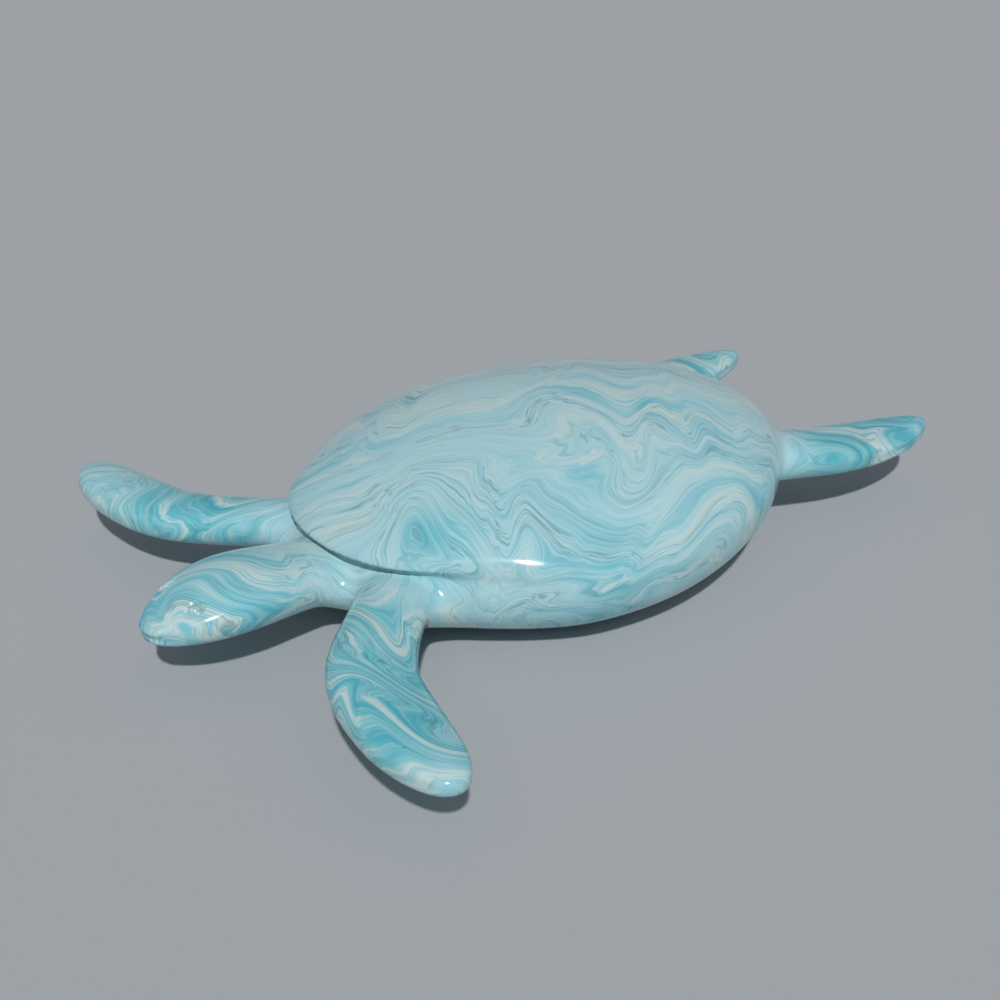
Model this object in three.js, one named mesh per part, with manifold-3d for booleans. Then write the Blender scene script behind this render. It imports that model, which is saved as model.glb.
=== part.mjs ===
// Sea turtle statue, carved in one piece from polished aqua marble.
//
// Millimetres, +Z up. The head points along -Y and the turtle's left side is +X.
// The statue rests on the flat that is ground under its belly, at Z = 0, and the origin is
// there, under the middle of the statue's length and width.
//
// The shell is built of rings from its crown down to its belly. The head and the flippers
// are lofts along curved spines that start inside the shell, with flared roots.

import * as THREE from "three";
import { mergeVertices } from "three/addons/utils/BufferGeometryUtils.js";
import Module from "manifold-3d";

// Driving dimensions

const SHELL = {
  halfWidth: 114.5,
  frontReach: 131, // from the widest line to the front lip
  rearReach: 150.5, // from the widest line to the tail end
  widestAt: 17, // Y of the widest line
  frontFullness: 2.0, // superellipse powers of the plan outline
  rearFullness: 1.85,
  rimHeight: 37.5, // height of the rim at the widest line
  rimRise: 6.5, // the rim is this much higher at the tail end, and lower at the front
  crown: 45.5, // the dome's height above the rim
  domePowers: { plan: 2, height: 1.85 }, // superellipse powers of the profiles
  bellyPowers: { plan: 3, height: 2.8 },
  bellyGround: 2.5, // ground away under the belly to make the flat that it rests on
};

// The front edge of the carapace is rolled over the neck and the shoulders. A groove runs
// under it, a little above the rim, and dies away along the flanks.
const LIP = {
  height: 11.5, // the groove's bottom, above the rim
  roll: 8, // height of the rolled edge, above the groove
  setback: 5, // depth of the groove
  blend: 18, // below the groove, the trunk comes out to the shell's line again over this
  fadeFrom: -85, // the groove fades out between these two places along Y
  fadeTo: -40,
};

// A limb's stations run from deep inside the shell to its very tip, evenly spaced. Each is
// the spine's point, the half width across the blade and the half thickness. Over the last
// share of the spine the section shrinks along a quarter ellipse, which rounds the tip.
// Roll turns the blade about its spine, in degrees, with the leading edge down.
const NECK_AND_HEAD = {
  stations: [
    { at: [0, -46, 33], halfWidth: 38, halfThickness: 25 },
    { at: [0, -84, 26.5], halfWidth: 26.5, halfThickness: 15 },
    { at: [0, -121, 31], halfWidth: 24, halfThickness: 13.5 },
    { at: [0, -158.5, 31], halfWidth: 27, halfThickness: 15 },
    { at: [0, -196, 28.5], halfWidth: 25, halfThickness: 14 },
  ],
  tipShare: 0.32,
  roll: 0,
};
const FRONT_FLIPPER = {
  stations: [
    { at: [28, -66, 31], halfWidth: 32, halfThickness: 19 },
    { at: [51.5, -103, 29.5], halfWidth: 17.5, halfThickness: 11 },
    { at: [89, -136.5, 29.5], halfWidth: 19, halfThickness: 9.5 },
    { at: [127, -148.5, 29.5], halfWidth: 19.5, halfThickness: 9.5 },
    { at: [170.5, -154, 30.5], halfWidth: 21, halfThickness: 10.5 },
  ],
  tipShare: 0.36,
  roll: 2,
};
const REAR_FLIPPER = {
  stations: [
    { at: [35, 86, 38], halfWidth: 30, halfThickness: 18 },
    { at: [50.5, 129, 37.5], halfWidth: 20, halfThickness: 12.5 },
    { at: [65, 174, 34.5], halfWidth: 21, halfThickness: 9.5 },
    { at: [70.5, 213.5, 32], halfWidth: 20.5, halfThickness: 7.5 },
    { at: [74, 252.5, 31], halfWidth: 19, halfThickness: 8 },
  ],
  tipShare: 0.34,
  roll: -1.5,
};
const EDGE_FULLNESS = 2.2; // superellipse power of a limb's section

const EYE = {
  at: [13.5, -179, 37.5], // on the left cheek, and mirrored on the right
  halfLength: 4,
  halfWidth: 3,
  bulge: 2.5,
};

const FACETS = {
  aroundShell: 72,
  dome: 14,
  belly: 9,
  aroundLimb: 24,
  alongLimb: 18,
  tip: 7,
  aroundEye: 14,
};
const MARBLE = { color: 0x8ec6cd, roughness: 0.16, metalness: 0 };

// Ring surfaces

const RIGHT_ANGLE = Math.PI / 2;

/** A point at this angle on a superellipse of half size 1. */
function superellipse(angle, power) {
  const stretch = (v) => Math.sign(v) * Math.abs(v) ** (2 / power);
  return [stretch(Math.cos(angle)), stretch(Math.sin(angle))];
}

/** The angles of a ring's points, evenly around. */
function around(count) {
  return Array.from({ length: count }, (_, i) => (2 * Math.PI * i) / count);
}

/** A closed skin over rings of points, with a fan to one point at each end. */
function skin(first, rings, last) {
  const count = rings[0].length;
  const triangles = [];
  const end = 1 + rings.length * count;
  for (let i = 0; i < count; i++) {
    const next = (i + 1) % count;
    triangles.push(0, 1 + i, 1 + next);
    for (let start = 1; start + count < end; start += count) {
      const below = start + count;
      triangles.push(start + i, below + i, below + next);
      triangles.push(start + i, below + next, start + next);
    }
    triangles.push(end, end - count + next, end - count + i);
  }
  const points = [first, ...rings.flat(), last];
  return new THREE.BufferGeometry().setFromPoints(points).setIndex(triangles);
}

// The shell

function rimHeightAt(y) {
  const along = y - SHELL.widestAt;
  const reach = along < 0 ? SHELL.frontReach : SHELL.rearReach;
  return SHELL.rimHeight + (SHELL.rimRise * along) / reach;
}

/** How far out the profile is, as a share of the rim, at a share of the crown or belly. */
function profileReach(height, powers) {
  return (1 - height ** powers.height) ** (1 / powers.plan);
}

/** How far the surface stands back from the plain dome, at a height above the groove. */
function setbackAt(rimY, above) {
  const fade = 1 - THREE.MathUtils.smoothstep(rimY, LIP.fadeFrom, LIP.fadeTo);
  const share =
    above > 0
      ? Math.max(1 - above / LIP.roll, 0) ** 2
      : THREE.MathUtils.smoothstep(above, -LIP.blend, 0);
  return LIP.setback * fade * share;
}

/** A ring at a share of the crown, or below 0 at a share of the belly's depth. */
function shellRing(height) {
  const dome = height >= 0;
  const reachShare = profileReach(Math.abs(height), dome ? SHELL.domePowers : SHELL.bellyPowers);
  return around(FACETS.aroundShell).map((angle) => {
    const front = Math.sin(angle) < 0;
    const reach = front ? SHELL.frontReach : SHELL.rearReach;
    const fullness = front ? SHELL.frontFullness : SHELL.rearFullness;
    const [across, along] = superellipse(angle, fullness);
    const rise = height * (dome ? SHELL.crown : SHELL.rimHeight + SHELL.bellyGround);
    const setback = setbackAt(SHELL.widestAt + along * reach, rise - LIP.height);
    const out = reachShare * (1 - setback / SHELL.halfWidth);
    const y = SHELL.widestAt + along * reach * out;
    const rim = rimHeightAt(y);
    const depth = dome ? SHELL.crown : rim + SHELL.bellyGround;
    return new THREE.Vector3(across * SHELL.halfWidth * out, y, rim + height * depth);
  });
}

/** Shares of a quarter turn's height, from near 0 to near 1. */
function heights(count) {
  return Array.from({ length: count - 1 }, (_, i) => Math.sin((RIGHT_ANGLE * (i + 1)) / count));
}

function shellGeometry() {
  const rolledEdge = [LIP.height, LIP.height + LIP.roll / 2, LIP.height + LIP.roll];
  const lip = [0, LIP.height / 2, ...rolledEdge].map((rise) => rise / SHELL.crown);
  const dome = heights(FACETS.dome).filter((height) => height > lip.at(-1));
  const belly = heights(FACETS.belly).map((depth) => -depth);
  const levels = [...lip, ...dome].reverse().concat(belly);
  const crown = new THREE.Vector3(0, SHELL.widestAt, SHELL.rimHeight + SHELL.crown);
  const keel = new THREE.Vector3(0, SHELL.widestAt, -SHELL.bellyGround);
  return skin(crown, levels.map(shellRing), keel);
}

// Head and flippers

/** Smooth curve through evenly spaced values, read at a share of the way along them. */
function through(values) {
  const curve = new THREE.SplineCurve(values.map((value, i) => new THREE.Vector2(i, value)));
  return (share) => curve.getPoint(share).y;
}

/** A limb's loft. Side -1 mirrors it to the turtle's right. */
function limbGeometry({ stations, tipShare, roll }, side = 1) {
  const spine = new THREE.CatmullRomCurve3(
    stations.map(({ at: [x, y, z] }) => new THREE.Vector3(side * x, y, z)),
    false,
    "catmullrom",
  );
  const halfWidthAt = through(stations.map(({ halfWidth }) => halfWidth));
  const halfThicknessAt = through(stations.map(({ halfThickness }) => halfThickness));
  const tilt = side * THREE.MathUtils.degToRad(roll);

  const section = (share, tipTurn) => {
    const tangent = spine.getTangent(share);
    const across = new THREE.Vector3(-tangent.y, tangent.x, 0).normalize();
    const normal = new THREE.Vector3().crossVectors(tangent, across);
    across.applyAxisAngle(tangent, tilt);
    normal.applyAxisAngle(tangent, tilt);
    const halfWidth = halfWidthAt(share) * Math.cos(tipTurn);
    const halfThickness = halfThicknessAt(share) * Math.cos(tipTurn);
    return around(FACETS.aroundLimb).map((angle) => {
      const [u, v] = superellipse(-angle, EDGE_FULLNESS);
      return spine
        .getPoint(share)
        .addScaledVector(across, u * halfWidth)
        .addScaledVector(normal, v * halfThickness);
    });
  };

  const rings = [];
  const tipStart = 1 - tipShare;
  for (let i = 0; i < FACETS.alongLimb; i++)
    rings.push(section((tipStart * i) / FACETS.alongLimb, 0));
  for (let i = 0; i < FACETS.tip; i++) {
    const turn = (RIGHT_ANGLE * i) / FACETS.tip;
    rings.push(section(tipStart + tipShare * Math.sin(turn), turn));
  }
  return skin(spine.getPoint(0), rings, spine.getPoint(1));
}

function eyeGeometry(side) {
  const [x, y, z] = EYE.at;
  return new THREE.SphereGeometry(1, FACETS.aroundEye, FACETS.aroundEye / 2)
    .scale(EYE.halfWidth, EYE.halfLength, EYE.bulge)
    .translate(side * x, y, z);
}

// Joining and cutting

const wasm = await Module();
wasm.setup();

function solidOf(geometry) {
  const bare = geometry.clone();
  bare.deleteAttribute("normal");
  bare.deleteAttribute("uv");
  const merged = mergeVertices(bare);
  return new wasm.Manifold(
    new wasm.Mesh({
      numProp: 3,
      vertProperties: merged.attributes.position.array,
      triVerts: new Uint32Array(merged.index.array),
    }),
  );
}

function geometryOf(solid) {
  const { vertProperties, triVerts } = solid.getMesh();
  return new THREE.BufferGeometry()
    .setAttribute("position", new THREE.BufferAttribute(vertProperties, 3))
    .setIndex(new THREE.BufferAttribute(triVerts, 1));
}

/** Everything below the floor, which is ground away to leave the flat under the belly. */
function groundGeometry() {
  const width = 4 * SHELL.halfWidth;
  const length = 4 * SHELL.rearReach;
  const depth = SHELL.rimHeight;
  return new THREE.BoxGeometry(width, length, depth).translate(0, 0, -depth / 2);
}

function statueGeometry() {
  let solid = solidOf(shellGeometry()).add(solidOf(limbGeometry(NECK_AND_HEAD)));
  for (const side of [1, -1]) {
    solid = solid
      .add(solidOf(limbGeometry(FRONT_FLIPPER, side)))
      .add(solidOf(limbGeometry(REAR_FLIPPER, side)))
      .add(solidOf(eyeGeometry(side)));
  }
  return geometryOf(solid.subtract(solidOf(groundGeometry())));
}

const statue = new THREE.Mesh(statueGeometry(), new THREE.MeshStandardMaterial(MARBLE));
statue.name = "sea_turtle";
statue.geometry.computeBoundingBox();
statue.position.y = -statue.geometry.boundingBox.getCenter(new THREE.Vector3()).y;

const group = new THREE.Group();
group.add(statue);

export default group;
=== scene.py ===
# %% [markdown]
# This lesson dresses a marble statue: a swimming sea turtle, carved from one block of aqua
# marble, ground flat under the belly and polished all over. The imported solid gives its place
# and size. The head points to -Y, the turtle's left side is +X, and +Z is up.

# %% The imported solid
import math

import bmesh
import bpy
import numpy as np
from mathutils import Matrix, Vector


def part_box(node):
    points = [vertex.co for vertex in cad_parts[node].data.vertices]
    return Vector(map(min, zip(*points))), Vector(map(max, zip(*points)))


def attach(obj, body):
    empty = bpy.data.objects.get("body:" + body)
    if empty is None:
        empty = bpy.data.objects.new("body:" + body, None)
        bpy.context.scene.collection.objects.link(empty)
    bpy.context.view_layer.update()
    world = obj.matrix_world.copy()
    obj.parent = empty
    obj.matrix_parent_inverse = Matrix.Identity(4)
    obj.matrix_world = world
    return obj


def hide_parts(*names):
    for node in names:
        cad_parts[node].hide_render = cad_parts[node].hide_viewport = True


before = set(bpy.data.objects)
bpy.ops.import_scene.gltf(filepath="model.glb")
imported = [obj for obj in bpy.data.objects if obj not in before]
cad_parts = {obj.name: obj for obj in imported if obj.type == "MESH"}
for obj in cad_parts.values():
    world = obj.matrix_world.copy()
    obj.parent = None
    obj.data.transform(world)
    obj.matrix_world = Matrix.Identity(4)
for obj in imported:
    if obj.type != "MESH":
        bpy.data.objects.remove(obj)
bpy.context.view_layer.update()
print("packed nodes:", sorted(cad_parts))

# %% [markdown]
# A carver leaves no seams. The neck, the shoulders and the flippers run into the belly in wide
# soft hollows, and only the front edge of the shell stays crisp. Lofts joined by booleans would
# leave a hard line at every joint, so the stone is written as a distance field instead: a
# function that says how far a point lies outside the stone, in millimetres, with negative
# values inside. Two shapes join by blending their distances, and the width of the blend is the
# radius of the hollow between them.


# %% Blends
def ease(value, start, end):
    """Runs smoothly from 0 at start to 1 at end."""
    share = np.clip((value - start) / (end - start), 0, 1)
    return share * share * (3 - 2 * share)


def join(a, b, hollow):
    """Both shapes together, with a hollow of that width where they meet."""
    return np.minimum(a, b) - np.maximum(hollow - np.abs(a - b), 0) ** 2 / (4 * hollow)


sample_hollow = 12.0
print("a hollow", sample_hollow, "mm wide fills its corner by", -float(join(0, 0, sample_hollow)), "mm")

# %% [markdown]
# The shell is an egg in plan, a low dome above its rim and a fuller bowl below it. Each of the
# three is a superellipse, which is what a carver's template for such a form comes close to.
# One number, the level, is 1 on the surface. Divided by its own slope it gives a distance.

# %% The shell
SHELL_HALF_WIDTH = 114.5
SHELL_FRONT_REACH = 131.0
SHELL_REAR_REACH = 150.5
SHELL_WIDEST_AT = 17.0
SHELL_FRONT_FULLNESS = 2.0
SHELL_REAR_FULLNESS = 1.85
RIM_HEIGHT = 37.5
RIM_RISE = 6.5
DOME_HEIGHT = 45.5
DOME_POWERS = (2.0, 1.85)
BELLY_POWERS = (3.0, 2.4)
BELLY_GROUND_AWAY = 2.5
SLOPE_STEP = 0.02
LEAST_SLOPE = 1e-4


def rim_height(y):
    """Height of the shell's widest line, which climbs a little from head to tail."""
    along = y - SHELL_WIDEST_AT
    return RIM_HEIGHT + RIM_RISE * along / np.where(along < 0, SHELL_FRONT_REACH, SHELL_REAR_REACH)


def shell_level(points):
    """1 on the shell's surface, less inside it and more outside."""
    x, y, z = points.T
    along = y - SHELL_WIDEST_AT
    front = along < 0
    reach = np.where(front, SHELL_FRONT_REACH, SHELL_REAR_REACH)
    fullness = np.where(front, SHELL_FRONT_FULLNESS, SHELL_REAR_FULLNESS)
    plan = np.abs(x / SHELL_HALF_WIDTH) ** fullness + np.abs(along / reach) ** fullness
    plan = plan ** (1 / fullness)
    rim = rim_height(y)
    dome = np.maximum(z - rim, 0) / DOME_HEIGHT
    belly = np.maximum(rim - z, 0) / (rim + BELLY_GROUND_AWAY)
    above = plan ** DOME_POWERS[0] + dome ** DOME_POWERS[1]
    below = plan ** BELLY_POWERS[0] + belly ** BELLY_POWERS[1]
    return np.where(z > rim, above ** (1 / DOME_POWERS[0]), below ** (1 / BELLY_POWERS[0]))


def value_and_slope(function, points):
    """A function of points and its gradient, by a small step along each axis."""
    here = function(points)
    rises = [function(points + step) - here for step in np.eye(3) * SLOPE_STEP]
    return here, np.stack(rises, axis=1) / SLOPE_STEP


def shell_distance(points):
    """Distance to the shell, near enough to the true one close to its surface."""
    level, rise = value_and_slope(shell_level, points)
    return (level - 1) / np.maximum(np.linalg.norm(rise, axis=1), LEAST_SLOPE)


crown = np.array([[0, SHELL_WIDEST_AT, RIM_HEIGHT + DOME_HEIGHT]])
print("distance 5 mm above the crown:", np.round(shell_distance(crown + [0, 0, 5]), 2), "mm")

# %% [markdown]
# The neck with the head, and each flipper, is a limb: a thick blade along a curved spine. A
# limb is the space swept by a flat round pebble of stone that changes its size on the way.
# Sweeping pebbles gives the soft round edges and the pointed oval tips that a rasp leaves,
# and the distance to the nearest pebble is easy to write.

# %% The limbs
# Each station on a spine is x, y, z, half the width of the blade and half its thickness. The tip
# takes up a share of the spine, and thins as its width does to the power of tip_thinning. The
# roll tilts the blade about its spine, in degrees.
NECK_AND_HEAD = {
    "stations": [
        (0, -46, 28, 30, 14),
        (0, -84, 25.5, 26.5, 13.5),
        (0, -121, 29.8, 24, 12.3),
        (0, -158.5, 32, 27, 13.5),
        (0, -198, 26.5, 25, 8.5),
    ],
    "tip_share": 0.29,
    "tip_thinning": 1.0,
    "roll": 0,
}
FRONT_FLIPPER = {
    "stations": [
        (28, -66, 27, 26, 12),
        (51.5, -103, 29.5, 17.5, 11),
        (88, -138, 29.5, 19, 9.5),
        (126, -150, 29.5, 19, 9.5),
        (170.5, -154, 30.5, 21, 10.5),
    ],
    "tip_share": 0.36,
    "tip_thinning": 0.8,
    "roll": 2,
}
REAR_FLIPPER = {
    "stations": [
        (35, 86, 38, 26, 16),
        (50.5, 129, 37.5, 20, 12.5),
        (65, 174, 34.5, 21, 9.5),
        (70.5, 213.5, 33, 19, 7.5),
        (73, 254, 34, 15, 7),
    ],
    "tip_share": 0.44,
    "tip_thinning": 0.5,
    "roll": -1.5,
}
print("stations on each spine:", len(FRONT_FLIPPER["stations"]))

# %% Pebbles along a spine
BLADE_PEBBLES = 26
TIP_PEBBLES = 16
TIP_SAMPLES = 200


def along_spine(stations, share):
    """A smooth curve through the stations, at shares of the way from 0 to 1."""
    rows = np.array(stations, float)
    rows = np.vstack([2 * rows[0] - rows[1], rows, 2 * rows[-1] - rows[-2]])
    place = np.clip(share, 0, 1) * (len(stations) - 1)
    row = np.minimum(place.astype(int), len(stations) - 2)
    t = (place - row)[:, None]
    a, b, c, d = (rows[row + i] for i in range(4))
    bend = 2 * a - 5 * b + 4 * c - d + (3 * b - a - 3 * c + d) * t
    return b + t / 2 * (c - a + t * bend)


def pebbles(limb):
    """The pebbles that sweep a limb: their centres, half widths, half thicknesses and axes.

    The tip is half an ellipse in plan, filled by the largest circles that fit in it. The last of
    them lies at the square of the ellipse's focus over its half length.
    """
    tip_start = 1 - limb["tip_share"]
    samples = np.linspace(tip_start, 1, TIP_SAMPLES)
    tip_path = along_spine(limb["stations"], samples)
    steps = np.linalg.norm(np.diff(tip_path[:, :3], axis=0), axis=1)
    length = np.concatenate([[0], np.cumsum(steps)])
    half_width = tip_path[0, 3]
    focus_squared = length[-1] ** 2 - half_width**2
    reached = np.sin(np.linspace(0, 1, TIP_PEBBLES) * math.pi / 2) * focus_squared / length[-1]
    tip_shares = np.interp(reached, length, samples)
    shares = np.concatenate([np.linspace(0, tip_start, BLADE_PEBBLES, endpoint=False), tip_shares])
    shrink = np.concatenate([np.ones(BLADE_PEBBLES), np.sqrt(1 - reached**2 / focus_squared)])
    rows = along_spine(limb["stations"], shares)
    ahead = np.gradient(rows[:, :3], axis=0)
    ahead /= np.linalg.norm(ahead, axis=1, keepdims=True)
    across = np.cross([0, 0, 1], ahead)
    across /= np.linalg.norm(across, axis=1, keepdims=True)
    up = np.cross(ahead, across)
    turn = math.radians(limb["roll"])
    axis = up * math.cos(turn) + across * math.sin(turn)
    return {
        "centre": rows[:, :3],
        "half_width": rows[:, 3] * shrink,
        "half_thickness": rows[:, 4] * shrink ** limb["tip_thinning"],
        "axis": axis,
    }


head = pebbles(NECK_AND_HEAD)
front_flipper = pebbles(FRONT_FLIPPER)
rear_flipper = pebbles(REAR_FLIPPER)
print("pebbles in each limb:", len(head["centre"]))

# %% Distance to a limb
EDGE_ROUND = 3.0
BLADE_FULLNESS = 2.1
# Distances to a limb are cut off here, because no hollow reaches further.
FAR = 24.0


def limb_distance(points, swept):
    """Distance to the nearest pebble of a limb, cut off at FAR.

    Between pebbles it is the lowest point of a parabola through the nearest one and its
    neighbours, so that no steps show.
    """
    reach = swept["half_width"].max() + FAR
    low = swept["centre"].min(axis=0) - reach
    high = swept["centre"].max(axis=0) + reach
    near = np.all((points > low) & (points < high), axis=1)
    spots = points[near]
    each = []
    for centre, half_width, half_thickness, axis in zip(*swept.values()):
        edge = min(EDGE_ROUND, half_thickness / 2)
        wide, thick = half_width - edge, half_thickness - edge
        offset = spots - centre
        height = np.abs(offset @ axis)
        flat = np.sqrt(np.maximum((offset**2).sum(axis=1) - height**2, 0))
        out = (flat / wide) ** (BLADE_FULLNESS - 1)
        over = (height / thick) ** (BLADE_FULLNESS - 1)
        level = (out * flat / wide + over * height / thick) ** (1 / BLADE_FULLNESS)
        steepness = np.hypot(out / wide, over / thick)
        reach_share = level ** (BLADE_FULLNESS - 1) * (level - 1)
        each.append(reach_share / np.maximum(steepness, LEAST_SLOPE) - edge)
    each = np.array(each)
    best = np.clip(each.argmin(axis=0), 1, len(each) - 2)
    spot = np.arange(len(spots))
    before, here, after = each[best - 1, spot], each[best, spot], each[best + 1, spot]
    bend = np.maximum(before + after - 2 * here, LEAST_SLOPE)
    smooth = here - np.minimum((after - before) ** 2 / (8 * bend), bend)
    distance = np.full(len(points), FAR)
    distance[near] = np.minimum(np.minimum(smooth, each.min(axis=0)), FAR)
    return distance


neck_middle = head["centre"][BLADE_PEBBLES // 2]
print("distance in the middle of the neck:", np.round(limb_distance(neck_middle[None], head), 1), "mm")

# %% [markdown]
# The front of the shell hangs over the neck as a lip, with a groove under it that opens over
# the shoulder, then drops and dies away along the flank. The groove is cut by moving the shell's
# surface in or out with the height above the lip's line. The limbs then join the shell in
# hollows that narrow towards the groove, so that they don't fill it.

# %% The lip and its groove
# A pair of depths, heights or widths goes from the neck to the flank. A pair named for a change
# along the shell is where it starts and where it ends, in y.
LIP_ABOVE_RIM = (11.5, 4.5)
LIP_DROPS = (-100.0, -34.0)
LIP_FLARE = 5.0
LIP_FLARE_HEIGHT = 28.0
LIP_FLARE_FADE = (-105.0, -60.0)
LIP_EDGE = 2.5
GROOVE_DEPTH = (2.5, 6.0)
GROOVE_DEEPENS = (-112.0, -72.0)
GROOVE_FADE = (-72.0, -22.0)
GROOVE_ROLL = (6.0, 14.0)
GROOVE_BLEND = 45.0
GROOVE_ROUND = 2.0


def blend_values(pair, share):
    """Goes from the first value of a pair to the second."""
    return pair[0] + (pair[1] - pair[0]) * share


def grooved_shell(points):
    """Distance to the shell with its lip and groove, and the height above the lip's line."""
    y, z = points[:, 1], points[:, 2]
    above = z - rim_height(y) - blend_values(LIP_ABOVE_RIM, ease(y, *LIP_DROPS))
    opening = ease(y, *GROOVE_DEEPENS)
    depth = blend_values(GROOVE_DEPTH, opening) * (1 - ease(y, *GROOVE_FADE))
    over = (above + np.hypot(above, GROOVE_ROUND)) / 2
    under = over - above
    roll = np.maximum(1 - over / blend_values(GROOVE_ROLL, opening), 0) ** 2
    groove = depth * roll * (1 - ease(under, 0, GROOVE_BLEND))
    flare = LIP_FLARE * (1 - ease(y, *LIP_FLARE_FADE)) * (1 - ease(above, 0, LIP_FLARE_HEIGHT))
    return shell_distance(points) + groove - flare * ease(above, -LIP_EDGE, LIP_EDGE), above


print("distance at the crown with the lip:", np.round(grooved_shell(crown)[0], 2), "mm")

# %% The whole stone
NECK_HOLLOW = 17.0
SHOULDER_HOLLOW = 12.0
HIP_HOLLOW = 4.0
HOLLOW_FADE = 16.0
LEAST_HOLLOW = 2.0
HOLLOWS = [(head, NECK_HOLLOW), (front_flipper, SHOULDER_HOLLOW), (rear_flipper, HIP_HOLLOW)]


def stone(points):
    """Distance to the statue's surface without its eyes."""
    points = np.column_stack([np.abs(points[:, 0]), points[:, 1:]])
    whole, above = grooved_shell(points)
    room = 1 - ease(above, -HOLLOW_FADE, 0) * (1 - ease(points[:, 1], *GROOVE_FADE))
    for limb, hollow in HOLLOWS:
        whole = join(whole, limb_distance(points, limb), np.maximum(hollow * room, LEAST_HOLLOW))
    return np.maximum(whole, -points[:, 2])


print("distance in the middle of the belly:", np.round(stone(np.array([[0, 0, 30.0]])), 1), "mm")

# %% [markdown]
# A mesh is drawn over the zero level with a surface net: space is cut in small cubes, every
# cube that the surface crosses gets one vertex, and neighbouring vertices are joined to
# quads. Marching cubes would do it too, but its slivers spoil a polished surface. The vertices
# are then slid along the surface to even spacing and set down exactly on it.

# %% A net over the stone
CELL = 1.7
NET_HALF_WIDTH = 178.0
NET_FRONT_AND_REAR = (-208.0, 264.0)
NET_BOTTOM_AND_TOP = (-4.0, 90.0)


def grid_line(low, high):
    """Evenly spaced places, half a cell off zero, so that the net mirrors about zero."""
    return (np.arange(math.floor(low / CELL), math.ceil(high / CELL)) + 0.5) * CELL


def surface_net(values, corner):
    """Vertices and quads of the zero level of values on a grid that starts at corner."""
    cells = tuple(size - 1 for size in values.shape)
    total = np.zeros((math.prod(cells), 3))
    count = np.zeros(math.prod(cells))
    quads = []
    for axis in range(3):
        first, second = np.delete(values, -1, axis), np.delete(values, 0, axis)
        start = np.argwhere((first < 0) != (second < 0))
        outer, inner = first[tuple(start.T)], second[tuple(start.T)]
        crossing = start.astype(float)
        crossing[:, axis] += outer / (outer - inner)
        ring = []
        for side in ((0, 0), (-1, 0), (-1, -1), (0, -1)):
            cell = start.copy()
            cell[:, (axis + 1) % 3] += side[0]
            cell[:, (axis + 2) % 3] += side[1]
            ring.append(np.ravel_multi_index(cell.T, cells))
        for cell in ring:
            np.add.at(total, cell, crossing)
            np.add.at(count, cell, 1)
        quad = np.stack(ring, axis=1)
        quads.append(np.where((outer < 0)[:, None], quad, quad[:, ::-1]))
    used = count > 0
    number = np.cumsum(used) - 1
    return corner + CELL * total[used] / count[used, None], number[np.concatenate(quads)]


xs = grid_line(-NET_HALF_WIDTH, NET_HALF_WIDTH)
ys = grid_line(*NET_FRONT_AND_REAR)
zs = grid_line(*NET_BOTTOM_AND_TOP)
left = xs[xs > 0]
nodes = np.stack(np.meshgrid(left, ys, zs, indexing="ij"), axis=-1)
left_half = stone(nodes.reshape(-1, 3)).reshape(nodes.shape[:3])
both_halves = np.concatenate([left_half[::-1], left_half])
net_points, net_quads = surface_net(both_halves, np.array([xs[0], ys[0], zs[0]]))
print("net:", len(net_points), "vertices and", len(net_quads), "quads")

# %% Even spacing
SMOOTHING_ROUNDS = 6
SETTLE_ROUNDS = 4


def settle(points, surface):
    """Sets points down on the zero level of a surface, and gives its normals there."""
    for _ in range(SETTLE_ROUNDS):
        distance, rise = value_and_slope(surface, points)
        normals = rise / np.maximum(np.linalg.norm(rise, axis=1, keepdims=True), LEAST_SLOPE)
        points = points - np.clip(distance, -CELL / 2, CELL / 2)[:, None] * normals
    return points, normals


def neighbour_mean(points, quads):
    """The mean of the vertices that share an edge with each vertex."""
    start = quads.ravel()
    end = np.roll(quads, -1, axis=1).ravel()
    count = np.bincount(start, minlength=len(points))
    sums = [np.bincount(start, weights=points[end, i], minlength=len(points)) for i in range(3)]
    return np.stack(sums, axis=1) / count[:, None]


def net_normals(points, quads):
    """Unit normals of the net at its vertices."""
    a, b, c, d = (points[quads[:, i]] for i in range(4))
    faces = np.cross(c - a, d - b)
    start = quads.ravel()
    weights = np.repeat(faces, 4, axis=0)
    sums = [np.bincount(start, weights=weights[:, i], minlength=len(points)) for i in range(3)]
    normals = np.stack(sums, axis=1)
    return normals / np.linalg.norm(normals, axis=1, keepdims=True)


for _ in range(SMOOTHING_ROUNDS):
    pull = neighbour_mean(net_points, net_quads) - net_points
    normals = net_normals(net_points, net_quads)
    net_points = net_points + pull - (pull * normals).sum(axis=1, keepdims=True) * normals
print("evenly spaced, and off the surface by up to", np.abs(stone(net_points)).max().round(2), "mm")

# %% [markdown]
# The eyes are small almond beads left standing inside a fine cut line, in the same stone. They
# are finer than the net, so the net is divided around them and set down on a surface that has
# the bead and its line added to it.

# %% The eyes
EYE_AT = (13.4, -179.3, 38.4)
EYE_FACING = (0.36, -0.42, 0.83)
EYE_HALF_SIZE = (3.6, 2.5)
EYE_BULGE = 0.5
EYE_LINE_DEPTH = 0.8
# The cut line's middle and width are shares of the eye's half size.
EYE_LINE_AT = 1.1
EYE_LINE_WIDTH = 0.35
EYE_PATCH = 8.0
eye_out = Vector(EYE_FACING).normalized()
eye_along = Vector((0, 1, 0)) - eye_out * eye_out.y
eye_along.normalize()
eye_across = eye_out.cross(eye_along)


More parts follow.
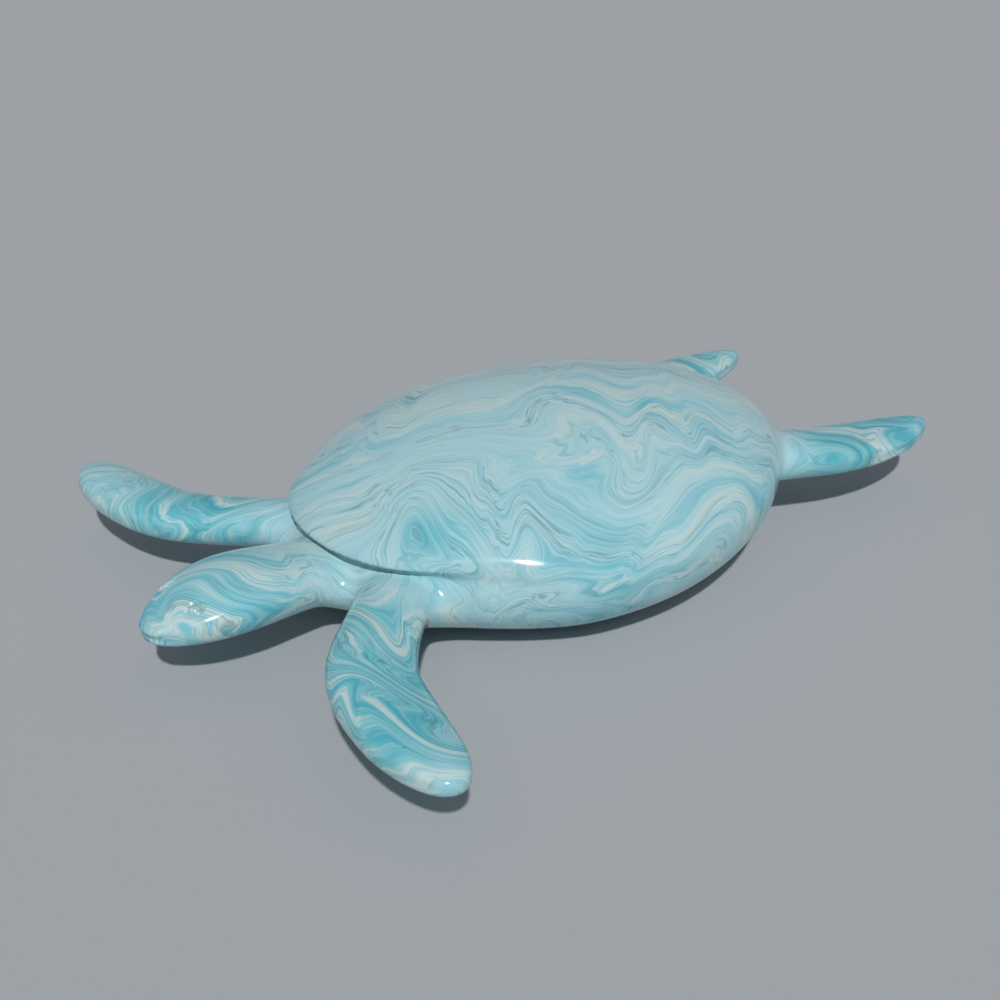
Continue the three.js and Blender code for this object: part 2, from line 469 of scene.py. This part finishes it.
def eye_relief(points):
    """How far the eye stands out of the stone, at points on either side."""
    offset = np.column_stack([np.abs(points[:, 0]), points[:, 1:]]) - EYE_AT
    along = offset @ np.array(eye_along) / EYE_HALF_SIZE[0]
    across = offset @ np.array(eye_across) / EYE_HALF_SIZE[1]
    ring = np.sqrt(along**2 + across**2)
    bead = EYE_BULGE * np.sqrt(np.clip(1 - ring**2, 0, 1))
    line = EYE_LINE_DEPTH * np.exp(-((ring - EYE_LINE_AT) / EYE_LINE_WIDTH) ** 2)
    near = (offset**2).sum(axis=1) < EYE_PATCH**2
    return np.where(near, bead - line, 0)


def stone_with_eyes(points):
    """Distance to the statue's surface with its eyes."""
    return stone(points) - eye_relief(points)


print("an eye stands out by", np.round(eye_relief(np.array([EYE_AT])), 2), "mm")

# %% The net with eyes
EYE_CUTS = 3
work = bmesh.new()
corners = [work.verts.new(point) for point in net_points]
for quad in net_quads:
    work.faces.new([corners[i] for i in quad])
eye_places = [Vector((side * EYE_AT[0], *EYE_AT[1:])) for side in (-1, 1)]
close = {v for v in work.verts if min((v.co - eye).length for eye in eye_places) < EYE_PATCH}
fine_edges = [e for e in work.edges if e.verts[0] in close and e.verts[1] in close]
bmesh.ops.subdivide_edges(work, edges=fine_edges, cuts=EYE_CUTS, use_grid_fill=True)
bmesh.ops.triangulate(work, faces=[f for f in work.faces if len(f.verts) > 4])
turtle_mesh = bpy.data.meshes.new("sea_turtle_stone")
work.to_mesh(turtle_mesh)
work.free()
points = np.empty(len(turtle_mesh.vertices) * 3)
turtle_mesh.vertices.foreach_get("co", points)
points, normals = settle(points.reshape(-1, 3), stone_with_eyes)
print("off the surface by at most", np.abs(stone_with_eyes(points)).max().round(3), "mm")
print("with eyes:", len(points), "vertices")

# %% [markdown]
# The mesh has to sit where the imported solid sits, so the two boxes share their middle line.
# The normals come from the distance field, which keeps reflections free of ripples.

# %% The statue in place
MM = 0.001
solid_low, solid_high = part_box("sea_turtle")
shift_y = (solid_low.y + solid_high.y) / 2 / MM - (points[:, 1].min() + points[:, 1].max()) / 2
placed = (points + [0, shift_y, 0]) * MM
turtle_mesh.vertices.foreach_set("co", placed.ravel())
turtle_mesh.shade_smooth()
turtle_mesh.normals_split_custom_set_from_vertices(normals.tolist())
turtle_mesh.update()
turtle = bpy.data.objects.new("marble_sea_turtle", turtle_mesh)
bpy.context.scene.collection.objects.link(turtle)
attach(turtle, "root")
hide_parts("sea_turtle")
triangles = sum(len(face.vertices) - 2 for face in turtle_mesh.polygons)
print("moved along Y by", round(shift_y, 2), "mm;", triangles, "triangles")

# %% [markdown]
# The marble was made by layers that were laid down flat and then stirred and folded while they
# were soft. The pattern is built the same way round: each point of the finished stone is
# followed back to where it lay before the stirring, and the layer at that place gives its
# colour. The large stirs are worked out here, once for each vertex.

# %% Stirring the layers
# A push drags the layers towards a heading, in degrees from +X to +Y, along a stroke. A turn
# spins them about an upright stick. Places are x and y, and all sizes are in millimetres. The
# layers also arch over the block: the lower a place is, the further out it counts.
GRAIN_HEADING = 52.0
LAYER_ARCH = 0.7
ARCH_HALF_WIDTH = 40.0
ARCH_TOP = 83.0
PUSHES = [
    # x, y, heading, distance, half width, half length
    (34, -78, 142, 20, 12, 28),
    (60, -66, 142, 11, 12, 26),
    (60, 42, 142, 16, 6, 22),
    (70, 62, -38, 16, 6, 22),
    (104, -130, -14, 36, 12, 44),
    (120, -160, 166, 20, 10, 30),
]
TURNS = [
    # x, y, degrees, radius
    (56, -16, 75, 32),
    (-105, -140, 70, 70),
    (-60, 60, -50, 40),
    (10, -160, 35, 40),
    (138, -150, 80, 20),
    (98, -142, -70, 18),
    (76, 222, 60, 26),
    (6, -150, 50, 20),
]


def stroke_share(points, x, y, heading, half_length, half_width):
    """1 in the middle of a stroke, falling softly towards 0 past its half length and half width."""
    along_x, along_y = math.cos(math.radians(heading)), math.sin(math.radians(heading))
    off_x, off_y = points[:, 0] - x, points[:, 1] - y
    along = (off_x * along_x + off_y * along_y) / half_length
    across = (off_y * along_x - off_x * along_y) / half_width
    return np.exp(-along**2 - across**2)


def stirred(points):
    """Where each point lay before the stirring: along the grain, across it, and its height."""
    before = points.copy()
    for x, y, heading, distance, half_width, half_length in PUSHES:
        amount = distance * stroke_share(before, x, y, heading, half_length, half_width)
        before[:, 0] -= amount * math.cos(math.radians(heading))
        before[:, 1] -= amount * math.sin(math.radians(heading))
    for x, y, degrees, radius in TURNS:
        off_x, off_y = before[:, 0] - x, before[:, 1] - y
        turn = math.radians(degrees) * np.exp(-(off_x**2 + off_y**2) / radius**2)
        before[:, 0] = x + off_x * np.cos(turn) - off_y * np.sin(turn)
        before[:, 1] = y + off_x * np.sin(turn) + off_y * np.cos(turn)
    grain = math.radians(GRAIN_HEADING)
    along = before[:, 0] * math.cos(grain) + before[:, 1] * math.sin(grain)
    across = before[:, 1] * math.cos(grain) - before[:, 0] * math.sin(grain)
    across = across + LAYER_ARCH * np.tanh(across / ARCH_HALF_WIDTH) * (ARCH_TOP - before[:, 2])
    return np.column_stack([along, across, before[:, 2]])


flow = stirred(points)
turtle_mesh.attributes.new("flow", "FLOAT_VECTOR", "POINT").data.foreach_set("vector", flow.ravel())
print("layers from", flow[:, 1].min().round(1), "to", flow[:, 1].max().round(1), "mm across the grain")

# %% [markdown]
# The stone is pale over most of the shell and grows deep turquoise towards the flippers and the
# head. Some patches of the shell are deep as well, and some of the limbs are pale. The share of
# deep stone is worked out for each vertex, because no single noise would put them there.

# %% Where the stone is deep in colour
# DEEP_LIMBS is how far out of the shell the deep stone starts and where it is full. A patch with
# a share below zero is paler than what is around it.
DEEP_LIMBS = (3.0, 28.0)
DEEP_PATCHES = [
    # x, y, heading, half length, half width, share
    (22, 57, 30, 42, 11, 1.0),
    (-62, -31, 34, 26, 9, 0.7),
    (51, -75, 37, 21, 12, 0.9),
    (66, -4, -22, 14, 8, 0.6),
    (104, -24, 57, 22, 8, 0.6),
    (95, 90, 110, 22, 8, 0.5),
    (-70, 70, 40, 40, 18, 0.8),
    (-100, 0, 80, 40, 9, 0.6),
    (0, -118, 90, 26, 30, -0.8),
    (4, -178, 90, 28, 24, -0.3),
    (166, -150, 80, 20, 16, -0.7),
    (-152, -152, 0, 38, 26, -0.85),
]


def depth_of_colour(points):
    """0 where the stone is pale and 1 where it is deep turquoise."""
    share = ease(shell_distance(points), *DEEP_LIMBS)
    for x, y, heading, half_length, half_width, patch_share in DEEP_PATCHES:
        share = share + patch_share * stroke_share(points, x, y, heading, half_length, half_width)
    return np.clip(share, 0, 1)


deep_share = depth_of_colour(points)
turtle_mesh.attributes.new("deep_share", "FLOAT", "POINT").data.foreach_set("value", deep_share)
print("share of the stone that is deep in colour:", round(float(deep_share.mean()), 2))

# %% [markdown]
# Aqua marble, sawn, carved and then polished with finer and finer grit until it mirrors. To the
# eye that is a clear gloss over colour that lies in the stone: pale aqua and white layers,
# turquoise bands and fine grey-green lines between them, all folded together.

# %% Polished aqua marble
POLISH_ROUGHNESS = 0.14
MARBLE_IOR = 1.5


def linear(hex_colour):
    """An sRGB hex colour as linear RGBA, by the standard curve."""
    parts = [int(hex_colour[i:i + 2], 16) / 255 for i in (1, 3, 5)]
    return [p / 12.92 if p <= 0.04045 else ((p + 0.055) / 1.055) ** 2.4 for p in parts] + [1]


def add_node(kind, settings=(), links=()):
    """Adds a node to the tree, with its settings (sockets, properties or colour stops) and links."""
    node = tree.nodes.new(kind)
    for name, value in dict(settings).items():
        if name == "stops":
            for stop in value[len(node.color_ramp.elements):]:
                node.color_ramp.elements.new(stop[0])
            for element, (place, colour) in zip(node.color_ramp.elements, value):
                element.position = place
                element.color = linear(colour)
        elif isinstance(name, int) or name in node.inputs:
            node.inputs[name].default_value = value
        else:
            setattr(node, name, value)
    for name, source in dict(links).items():
        tree.links.new(source, node.inputs[name])
    return node


marble = bpy.data.materials.new("polished_aqua_marble")
marble.use_nodes = True
tree = marble.node_tree
tree.nodes.clear()
finish = {"Roughness": POLISH_ROUGHNESS, "IOR": MARBLE_IOR}
polish = add_node("ShaderNodeBsdfPrincipled", finish)
add_node("ShaderNodeOutputMaterial", links={"Surface": polish.outputs["BSDF"]})
where = add_node("ShaderNodeAttribute", {"attribute_name": "flow"}).outputs["Vector"]
deep = add_node("ShaderNodeAttribute", {"attribute_name": "deep_share"}).outputs["Fac"]
print("shader:", polish.name, "with roughness", POLISH_ROUGHNESS)

# %% [markdown]
# Between the large stirs the layers are rippled. Each ripple moves a place by soft noise, and its
# waves are longer across the layers than along them, so that neighbouring layers bend alike.
# Most of the move is across the layers. As large a move along them would crush the next ripples.

# %% Ripples
RIPPLES = [
    # wave along the grain, wave across it, height, in millimetres
    (48, 150, 115),
    (20, 84, 27),
    (7, 24, 5),
]
SIDEWAYS_SHARE = 0.7
NOISE_MIDDLE = (0.5, 0.5, 0.5)


def ripple(place, wave_along, wave_across, height):
    """Moves a place by a soft random amount, in waves of a size along and across the grain."""
    waves = {"operation": "DIVIDE", 1: (wave_along, wave_across, wave_along)}
    squeezed = add_node("ShaderNodeVectorMath", waves, {0: place})
    soft = {"Scale": 1.0, "Detail": 0.0}
    noise = add_node("ShaderNodeTexNoise", soft, {"Vector": squeezed.outputs[0]})
    centre = {"operation": "SUBTRACT", 1: NOISE_MIDDLE}
    centred = add_node("ShaderNodeVectorMath", centre, {0: noise.outputs["Color"]})
    sideways = height * SIDEWAYS_SHARE
    stretch = {"operation": "MULTIPLY_ADD", 1: (sideways, height, sideways)}
    moved = add_node("ShaderNodeVectorMath", stretch, {0: centred.outputs[0], 2: place})
    return moved.outputs[0]


folded = where
for waves in RIPPLES:
    folded = ripple(folded, *waves)
print("ripples:", len(RIPPLES))

# %% [markdown]
# A layer's colour depends on its depth in the stone, and only slowly on the place along it, which
# lets lines fade out and start again. Noise in four dimensions does both: the depth is the fourth
# one, and the place counts little. Wave textures would repeat too evenly.

# %% Layers
# Each kind of layer has a thickness in millimetres, a number of finer layers within it, and a
# start that takes it from its own part of the noise.
TINT_LAYERS = (11, 5, 0)
MILK_LAYERS = (6.5, 2, 900)
LINE_LAYERS = (3.6, 1, 300)
LINE_PATCHES = (24, 1, 600)
FINER_SHARE = 0.65
DRIFT = 0.1
depth_settings = {"operation": "DOT_PRODUCT", 1: (0, 1, 0)}
depth = add_node("ShaderNodeVectorMath", depth_settings, {0: folded}).outputs["Value"]
drift_settings = {"operation": "SCALE", "Scale": DRIFT}
drift = add_node("ShaderNodeVectorMath", drift_settings, {0: folded}).outputs[0]


def layers(thickness, detail, start):
    """Random grey layers of a thickness in millimetres, nearly even along each layer."""
    moved = add_node("ShaderNodeMath", {"operation": "ADD", 1: start}, {0: depth}).outputs[0]
    settings = {
        "noise_dimensions": "4D",
        "Scale": 1 / thickness,
        "Detail": detail,
        "Roughness": FINER_SHARE,
    }
    return add_node("ShaderNodeTexNoise", settings, {"Vector": drift, "W": moved}).outputs["Fac"]


tint_layers = layers(*TINT_LAYERS)
milk_layers = layers(*MILK_LAYERS)
line_layers = layers(*LINE_LAYERS)
line_patches = layers(*LINE_PATCHES)
print("layers from", LINE_LAYERS[0], "to", TINT_LAYERS[0], "mm thick")

# %% [markdown]
# The thick layers give the tints. The pale and the deep stone share their layers, so a band runs
# on from one to the other, and each has its own run of colours from turquoise through aqua to
# white.

# %% Tints
# Sockets of the Mix node when it mixes colours.
MIX_SHARE, MIX_UNDER, MIX_OVER, MIX_RESULT = 0, 6, 7, 2
PALE_STONE = [
    (0.3, "#74bdc8"), (0.39, "#8ec8d2"), (0.46, "#a6d4dc"),
    (0.53, "#aed7dc"), (0.6, "#c4dcda"), (0.68, "#9ccfd8"),
]
DEEP_STONE = [
    (0.33, "#3fa9bb"), (0.42, "#54b7c6"), (0.48, "#70c3cf"), (0.53, "#8acdd6"),
    (0.57, "#bddad9"), (0.61, "#c7dcd8"), (0.65, "#84c9d2"), (0.72, "#4fb3c3"),
]
pale_stone = add_node("ShaderNodeValToRGB", {"stops": PALE_STONE}, {"Fac": tint_layers}).outputs["Color"]
deep_stone = add_node("ShaderNodeValToRGB", {"stops": DEEP_STONE}, {"Fac": tint_layers}).outputs["Color"]
tint_links = {MIX_SHARE: deep, MIX_UNDER: pale_stone, MIX_OVER: deep_stone}
stone_colour = add_node("ShaderNodeMix", {"data_type": "RGBA"}, tint_links).outputs[MIX_RESULT]
print("tints:", len(PALE_STONE), "in the pale stone and", len(DEEP_STONE), "in the deep stone")

# %% [markdown]
# Thinner layers give milky bands, and the thinnest give fine white lines and grey-green ones. The
# grey-green lines are strong in some layers and faint in others, as veins in real marble are, so
# a slow change through the layers sets their strength.

# %% Milky bands and fine lines
MILK_STOPS = [(0.53, "#000000"), (0.64, "#909090")]
WHITE_STOPS = [(0.52, "#000000"), (0.56, "#808080"), (0.6, "#000000")]
LINE_STOPS = [(0.44, "#000000"), (0.475, "#ffffff"), (0.51, "#000000")]
PATCH_STOPS = [(0.38, "#282828"), (0.57, "#d8d8d8")]
MILK, WHITE, GREY_GREEN = "#cfe0dd", "#d4e4e1", "#639195"
milk = add_node("ShaderNodeValToRGB", {"stops": MILK_STOPS}, {"Fac": milk_layers}).outputs["Color"]
white = add_node("ShaderNodeValToRGB", {"stops": WHITE_STOPS}, {"Fac": line_layers}).outputs["Color"]
line = add_node("ShaderNodeValToRGB", {"stops": LINE_STOPS}, {"Fac": line_layers}).outputs["Color"]
patch = add_node("ShaderNodeValToRGB", {"stops": PATCH_STOPS}, {"Fac": line_patches}).outputs["Color"]
grey = add_node("ShaderNodeMath", {"operation": "MULTIPLY"}, {0: line, 1: patch}).outputs[0]
for share, colour in ((milk, MILK), (white, WHITE), (grey, GREY_GREEN)):
    over = {"data_type": "RGBA", MIX_OVER: linear(colour)}
    under = {MIX_SHARE: share, MIX_UNDER: stone_colour}
    stone_colour = add_node("ShaderNodeMix", over, under).outputs[MIX_RESULT]
tree.links.new(stone_colour, polish.inputs["Base Color"])
turtle_mesh.materials.append(marble)
print("material:", marble.name, "with", len(tree.nodes), "nodes")

# %% [markdown]
# The floor is a plain pale sheet of matt paint, so that it takes the shadow and leaves the gloss to
# the stone. One face is enough, wide enough to reach past the picture on every side.

# %% The floor
FLOOR_HALF = 6.0
FLOOR_COLOUR = "#b2b6b9"
FLOOR_ROUGHNESS = 0.9
FLOOR_SPECULAR = 0.1
floor_mesh = bpy.data.meshes.new("floor")
floor_sides = ((-1, -1), (1, -1), (1, 1), (-1, 1))
floor_corners = [(x * FLOOR_HALF, y * FLOOR_HALF, 0) for x, y in floor_sides]
floor_mesh.from_pydata(floor_corners, [], [(0, 1, 2, 3)])
floor = bpy.data.objects.new("floor", floor_mesh)
bpy.context.scene.collection.objects.link(floor)
floor_paint = bpy.data.materials.new("matt_floor_paint")
floor_paint.use_nodes = True
floor_shader = floor_paint.node_tree.nodes["Principled BSDF"]
floor_shader.inputs["Base Color"].default_value = linear(FLOOR_COLOUR)
floor_shader.inputs["Roughness"].default_value = FLOOR_ROUGHNESS
floor_shader.inputs["Specular IOR Level"].default_value = FLOOR_SPECULAR
floor_mesh.materials.append(floor_paint)
print("floor:", 2 * FLOOR_HALF, "m wide")

# %% [markdown]
# One softbox stands where the photograph's shadows say that the light came from, and a pale studio
# all around fills the shadows. The softbox is far off and looks small from the statue, which
# leaves a clear shadow edge and small bright marks on the polish. Blender's sun lamp does this
# best, because its rays are nearly parallel and its angle is the softbox's width as it is seen.

# %% Light
KEY_AZIMUTH = math.radians(56.4)
KEY_ELEVATION = math.radians(48.7)
KEY_DISTANCE = 2.0
KEY_SPREAD = math.radians(2.5)
KEY_STRENGTH = 2.3
STUDIO_COLOUR = "#e2e5f0"
STUDIO_STRENGTH = 0.28


def direction(azimuth, elevation):
    """The way from the statue to something seen at that azimuth and elevation."""
    level = math.cos(elevation)
    return Vector((math.sin(azimuth) * level, -math.cos(azimuth) * level, math.sin(elevation)))


key_light = bpy.data.lights.new("softbox", "SUN")
key_light.angle = KEY_SPREAD
key_light.energy = KEY_STRENGTH
key = bpy.data.objects.new("softbox", key_light)
key.location = direction(KEY_AZIMUTH, KEY_ELEVATION) * KEY_DISTANCE
key.rotation_euler = key.location.to_track_quat("Z", "Y").to_euler()
bpy.context.scene.collection.objects.link(key)
studio = bpy.data.worlds.new("pale_studio")
studio.use_nodes = True
studio_shader = studio.node_tree.nodes["Background"]
studio_shader.inputs["Color"].default_value = linear(STUDIO_COLOUR)
studio_shader.inputs["Strength"].default_value = STUDIO_STRENGTH
bpy.context.scene.world = studio
bpy.context.scene.view_settings.view_transform = "Standard"
print("softbox at", [round(v, 2) for v in key.location])

# %% [markdown]
# The camera stands where the photograph was taken from. Its place and lens were found by fitting
# the statue's outline and its shadow, because the photograph says neither.

# %% Camera
CAMERA_AZIMUTH = math.radians(52.11)
CAMERA_ELEVATION = math.radians(26.32)
CAMERA_DISTANCE = 653.3 * MM
CAMERA_TARGET = Vector((-3.2, -27.8, 30.0)) * MM
LENS = 45.43
SENSOR_WIDTH = 36
NEAREST_SEEN = 10 * MM
camera_data = bpy.data.cameras.new("camera")
camera_data.lens = LENS
camera_data.sensor_width = SENSOR_WIDTH
camera_data.clip_start = NEAREST_SEEN
camera = bpy.data.objects.new("camera", camera_data)
away = direction(CAMERA_AZIMUTH, CAMERA_ELEVATION)
camera.location = CAMERA_TARGET + away * CAMERA_DISTANCE
camera.rotation_euler = away.to_track_quat("Z", "Y").to_euler()
bpy.context.scene.collection.objects.link(camera)
bpy.context.scene.camera = camera
print("camera at", [round(v, 3) for v in camera.location])

# %% [markdown]
# Last, the view layer is brought up to date.

# %% Finish
bpy.context.view_layer.update()
